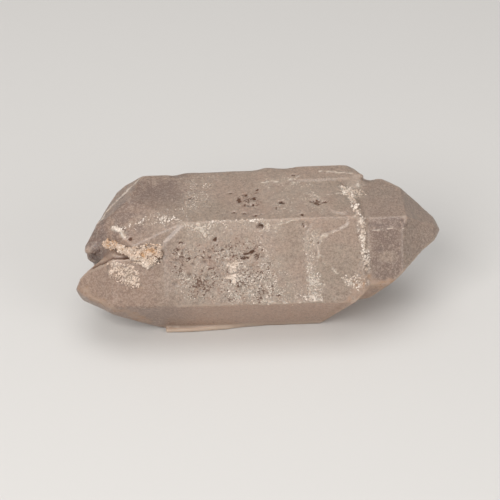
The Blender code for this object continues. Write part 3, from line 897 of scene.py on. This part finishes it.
def grain_shape():
    """One small quartz crystal along Z with a point at each end, as points and faces."""
    rings = [(-0.45, 0.5), (0.45, 0.5)]
    points = [Vector((0, 0, -1))]
    for z, radius in rings:
        for i in range(SIDES_OF_GRAIN):
            turn = math.tau * i / SIDES_OF_GRAIN
            points.append(Vector((radius * math.cos(turn), radius * math.sin(turn), z)))
    points.append(Vector((0, 0, 1)))
    faces = []
    last = len(points) - 1
    for i in range(SIDES_OF_GRAIN):
        near = 1 + i
        far = 1 + (i + 1) % SIDES_OF_GRAIN
        faces.append((0, far, near))
        faces.append((near, far, far + SIDES_OF_GRAIN, near + SIDES_OF_GRAIN))
        faces.append((near + SIDES_OF_GRAIN, far + SIDES_OF_GRAIN, last))
    return points, faces


def place_inside(outline, stray=0.0):
    """A chance place inside an outline, or a little outside it where it strays."""
    xs = [x for x, _ in outline]
    ys = [y for _, y in outline]
    while True:
        place = (chance.uniform(min(xs), max(xs)), chance.uniform(min(ys), max(ys)))
        if outline_distance(np.array([place]), outline)[0] > 0:
            return place[0] + chance.gauss(0, stray), place[1] + chance.gauss(0, stray)


def surface_under(surface, name, place):
    """The point of the surface straight under a place on a broad face."""
    outward = FACE_AXES[name][1]
    return surface.ray_cast(on_face(name, *place) + DROP_HEIGHT * outward, -outward)[0]


def scattered_grains(surface):
    """Grains in their patches, each half sunk in the surface under it, as one mesh."""
    shape, shape_faces = grain_shape()
    points = []
    faces = []
    clays = []
    for name, outline, count, size, stray, clay in GRAIN_PATCHES:
        for _ in range(count):
            hit = surface_under(surface, name, place_inside(outline, stray))
            if hit is None or noise.noise(hit / CLUMP_SIZE) < CLUMP_LEAST:
                continue
            length = size * MM * chance.uniform(*GRAIN_LENGTHS)
            turn = Euler([chance.uniform(0, math.tau) for _ in range(3)]).to_matrix()
            widths = [length * chance.uniform(*GRAIN_WIDTHS) for _ in range(2)]
            stretch = Matrix.Diagonal((*widths, length))
            first = len(points)
            points += [hit + turn @ stretch @ point for point in shape]
            faces += [tuple(first + i for i in face) for face in shape_faces]
            clays += [clay] * len(shape)
    mesh = bpy.data.meshes.new("quartz_grains")
    mesh.from_pydata(points, [], faces)
    store(mesh, "clay", np.array(clays))
    return mesh


def grain_material():
    material = bpy.data.materials.new("white_quartz_grains")
    material.use_nodes = True
    tree = material.node_tree
    shader = tree.nodes["Principled BSDF"]
    place = shader_node(tree, "TexCoord").outputs["Object"]
    sockets = {"Vector": place, "Scale": GRAIN_TONES_PER_METRE, "Detail": 3.0}
    tones = shader_node(tree, "TexNoise", sockets).outputs[0]
    colour = mixed(tree, ramp(tree, tones, 0.35, 0.62), GRAIN_WHITE, GRAIN_SHADED)
    clay = times(tree, mask(tree, "clay"), ramp(tree, tones, 0.65, 0.4))
    colour = mixed(tree, clay, colour, CREAM_CLAY)
    tree.links.new(colour, shader.inputs["Base Color"])
    tree.links.new(math_node(tree, "MULTIPLY_ADD", tones, 0.3, 0.1), shader.inputs["Roughness"])
    shader.inputs["IOR"].default_value = QUARTZ_IOR
    return material


quartz_surface = BVHTree.FromPolygons(
    [vertex.co for vertex in quartz.data.vertices], [tuple(face.vertices) for face in quartz.data.polygons]
)
grains = scene_object("quartz_grains", scattered_grains(quartz_surface))
grains.data.materials.append(grain_material())
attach(grains, "root")

# Earthy crust
# Cream clay and ochre iron oxide, mixed with sand-fine grains, that settled in the cleft between the two
# left ends and spread a little on the front face. It is matt, crumbly and full of small holes.
CRUST_CELL = 0.16 * MM
# How far it swells past its plain shape, and the heights (in millimetres) and sizes of its lumps and grit.
CRUST_SWELL = 0.25
LUMP_HEIGHT = 0.40
LUMP_SIZE = 1.8 * MM
GRIT_HEIGHT = 0.12
GRIT_SIZE = 0.5 * MM
CRUMBS = 900
CRUMB_SIZE = 0.2 * MM
# The least, the most and the usual share of that size, how uneven the corners are, and the share of the
# crumbs that are on the crust. The others are in a patch beside it.
CRUMB_SIZES = (0.5, 2.2, 0.8)
CRUMB_CORNERS = (0.6, 1.3)
CRUMBS_ON_CRUST = 0.6
OCHRE_PATCH = [(-30.6, 5.4), (-27, 4.6), (-23.6, 5.2), (-23.8, 9.4), (-26.6, 10.4), (-30.4, 9.2)]
# The crust's left end is drawn in to the cleft, most at the far end: where that starts and is full.
DRAWN_IN = 1.6 * MM
DRAWN_BETWEEN = (-35.5, -39.5)
# Its lower edge is sandy: how far down the front face that starts and is full.
SANDY_BETWEEN = (7.4, 8.8)
CRUST_PATCH_SIZE = 2.2
CRUST_GRAIN_SIZE = 0.4
CRUST_HOLES = 0.91
CRUST_ROUGHNESS = 0.85
CRUST_GRAIN_STRENGTH = 0.8
CRUST_GRAIN_DEPTH = 0.15 * MM
SAND_COVER = 0.65
SAND_GRAIN_COVER = 0.7
CREAM_GRAIN = (0.82, 0.71, 0.61, 1)
PALE_SAND = (0.76, 0.66, 0.57, 1)
CRUST_HOLE = (0.12, 0.06, 0.035, 1)


def add_crumb(mesh, place, size):
    """One crumb of clay or sand: a small blunt lump with uneven corners."""
    made = bmesh.ops.create_icosphere(mesh, subdivisions=1, radius=size)
    for corner in made["verts"]:
        corner.co = place + corner.co * chance.uniform(*CRUMB_CORNERS)


def uneven_crust():
    """The crust's own solid as a swollen and uneven mesh, and its points."""
    mesh = fine_copy("cleft_crust", CRUST_CELL)
    points = smoothed(points_of(mesh), edges_of(mesh), rounds=70)
    points[:, 0] += DRAWN_IN * smooth_step(*DRAWN_BETWEEN, points[:, 0] / MM)
    mesh.vertices.foreach_set("co", points.ravel())
    mesh.update()
    normals = normals_of(mesh)
    height = CRUST_SWELL + LUMP_HEIGHT * noise_at(points, LUMP_SIZE, seed=31, octaves=4)
    height += GRIT_HEIGHT * noise_at(points, GRIT_SIZE, seed=7, octaves=3)
    points += height[:, None] * MM * normals
    mesh.vertices.foreach_set("co", points.ravel())
    return mesh, points


def crumbly_crust(ground):
    """The uneven crust with crumbs on it and on the front face beside it, as one mesh."""
    mesh, points = uneven_crust()
    crust = bmesh.new()
    crust.from_mesh(mesh)
    for _ in range(CRUMBS):
        size = CRUMB_SIZE * chance.triangular(*CRUMB_SIZES)
        if chance.random() < CRUMBS_ON_CRUST:
            place = Vector(points[chance.randrange(len(points))])
        else:
            place = surface_under(ground, "front", place_inside(OCHRE_PATCH))
        add_crumb(crust, place, size)
    crust.to_mesh(mesh)
    crust.free()
    down_face = face_places(points_of(mesh), "front")[:, 1]
    store(mesh, "sandy", smooth_step(*SANDY_BETWEEN, down_face))
    return mesh


def crust_material():
    material = bpy.data.materials.new("earthy_crust")
    material.use_nodes = True
    tree = material.node_tree
    shader = tree.nodes["Principled BSDF"]
    place = shader_node(tree, "TexCoord").outputs["Object"]
    sockets = {"Place": place, "Patch Size": CRUST_PATCH_SIZE}
    earth = shader_node(tree, "Group", sockets, node_tree=earthy_colour)
    sockets = {"Place": place, "Grain Size": CRUST_GRAIN_SIZE, "White Share": 1.0, "Speck Share": CRUST_HOLES}
    grain = shader_node(tree, "Group", sockets, node_tree=mineral_grain)
    colour = mixed(tree, times(tree, mask(tree, "sandy"), SAND_COVER), earth.outputs["Colour"], PALE_SAND)
    colour = mixed(tree, times(tree, grain.outputs["White"], SAND_GRAIN_COVER), colour, CREAM_GRAIN)
    colour = mixed(tree, grain.outputs["Speck"], colour, CRUST_HOLE)
    tree.links.new(colour, shader.inputs["Base Color"])
    shader.inputs["Roughness"].default_value = CRUST_ROUGHNESS
    relief_sockets = {"Strength": CRUST_GRAIN_STRENGTH, "Distance": CRUST_GRAIN_DEPTH}
    bump = shader_node(tree, "Bump", {"Height": grain.outputs["Height"], **relief_sockets})
    tree.links.new(bump.outputs[0], shader.inputs["Normal"])
    return material


crust = scene_object("crust", crumbly_crust(quartz_surface))
crust.data.materials.append(crust_material())
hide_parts("cleft_crust")
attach(crust, "root")

# Floor, light and camera
# A plain pale floor, a broad soft light from the camera's side and two weaker ones, and the camera at the
# photograph's angle.
FLOOR_SIZE = 3.0
FLOOR_COLOUR = (0.60, 0.59, 0.575, 1)
FLOOR_ROUGHNESS = 0.7
SURROUND_COLOUR = (1.0, 0.98, 0.96, 1)
SURROUND_STRENGTH = 0.35
CAMERA_AZIMUTH = math.radians(-3.5)
CAMERA_HEIGHT = math.radians(38)
CAMERA_DISTANCE = 0.40
LOOKED_AT = Vector((-0.00175, -0.00112, 0.0147))
SENSOR = 36.0
WIDTH_SEEN = 0.125
NEAREST_SEEN = 0.01
# Each light: where it is, its power in watts, its width and its colour.
LIGHTS = {
    "key": ((-0.32, -0.45, 0.50), 4.1, 0.45, (1.0, 0.98, 0.96)),
    "overhead": ((0.0, 0.05, 0.80), 2.6, 0.60, (1.0, 0.99, 0.98)),
    "fill": ((0.50, -0.45, 0.30), 1.4, 0.40, (1.0, 0.98, 0.96)),
}


def floor_mesh():
    mesh = bmesh.new()
    bmesh.ops.create_grid(mesh, x_segments=1, y_segments=1, size=0.5 * FLOOR_SIZE)
    data = bpy.data.meshes.new("floor")
    mesh.to_mesh(data)
    mesh.free()
    return data


def soft_light(name, place, power, width, colour):
    lamp = bpy.data.lights.new(name, "AREA")
    lamp.energy = power
    lamp.size = width
    lamp.color = colour
    light = scene_object(name, lamp)
    light.location = place
    light.rotation_euler = (LOOKED_AT - Vector(place)).to_track_quat("-Z", "Y").to_euler()


floor = scene_object("floor", floor_mesh())
floor_material = bpy.data.materials.new("pale_floor")
floor_material.use_nodes = True
floor_shader = floor_material.node_tree.nodes["Principled BSDF"]
floor_shader.inputs["Base Color"].default_value = FLOOR_COLOUR
floor_shader.inputs["Roughness"].default_value = FLOOR_ROUGHNESS
floor.data.materials.append(floor_material)

for light_name, values in LIGHTS.items():
    soft_light(light_name, *values)
world = bpy.data.worlds.new("soft_surround")
world.use_nodes = True
surround = world.node_tree.nodes["Background"]
surround.inputs["Color"].default_value = SURROUND_COLOUR
surround.inputs["Strength"].default_value = SURROUND_STRENGTH
bpy.context.scene.world = world
bpy.context.scene.view_settings.view_transform = "Standard"

camera = scene_object("camera", bpy.data.cameras.new("camera"))
towards_camera = Vector((
    math.sin(CAMERA_AZIMUTH) * math.cos(CAMERA_HEIGHT),
    -math.cos(CAMERA_AZIMUTH) * math.cos(CAMERA_HEIGHT),
    math.sin(CAMERA_HEIGHT),
))
camera.location = LOOKED_AT + CAMERA_DISTANCE * towards_camera
camera.rotation_euler = (-towards_camera).to_track_quat("-Z", "Y").to_euler()
camera.data.sensor_width = SENSOR
camera.data.lens = SENSOR * CAMERA_DISTANCE / WIDTH_SEEN
camera.data.clip_start = NEAREST_SEEN
bpy.context.scene.camera = camera
